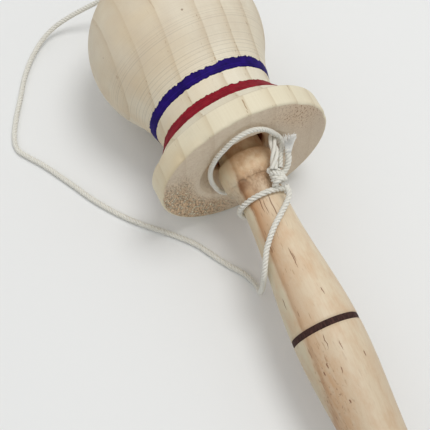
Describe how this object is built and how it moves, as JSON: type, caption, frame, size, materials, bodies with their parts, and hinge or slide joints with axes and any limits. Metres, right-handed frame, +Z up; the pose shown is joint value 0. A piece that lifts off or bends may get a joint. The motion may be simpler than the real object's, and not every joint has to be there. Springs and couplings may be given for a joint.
{
  "type": "cup and ball toy",
  "caption": "Turned wooden cup and ball toy: a round ball with a waisted, flanged and socketed foot, a turned stick standing loosely in the socket, and a cotton cord tying them together.",
  "frame": {"origin": "on the surface the toy lies on, under the middle of its length without the free cord", "axes": "+X along the ball's axis from the ball towards the handle, +Z up"},
  "size_m": [0.2184, 0.096, 0.062],
  "materials": {
    "ball_wood": "bare pale pine, turned and sanded, with growth lines along the axis",
    "blue_paint": "thin matt indigo paint, brushed on the lathe",
    "red_paint": "thin matt crimson paint, brushed on the lathe",
    "stick_wood": "bare pine, smoother and warmer, with orange late-wood streaks",
    "burnt_wood": "charred by a wire held against the turning stick",
    "cotton_cord": "off-white twisted cotton"
  },
  "bodies": {
    "ball": {"ball": "ball_wood", "blue_band": "blue_paint", "red_band": "red_paint", "stopper_knot": "cotton_cord", "cord_run": "cotton_cord"},
    "tie": {"neck_tie": "cotton_cord", "neck_knot": "cotton_cord", "mouth_loop": "cotton_cord", "loose_tail": "cotton_cord"},
    "stick": {"stick": "stick_wood", "burnt_line": "burnt_wood"}
  },
  "joints": [
    {"name": "stick_pull", "type": "slide", "parent": "ball", "child": "tie", "axis": [0.996, -0.0662, -0.0593], "range_m": [0, 0.06], "deforming": ["cord_run"]},
    {"name": "stick_spin", "type": "hinge", "parent": "tie", "child": "stick", "pos_m": [-0.0183, 0.0004, 0.02925], "axis": [0.996, -0.0662, -0.0593], "continuous": true}
  ]
}
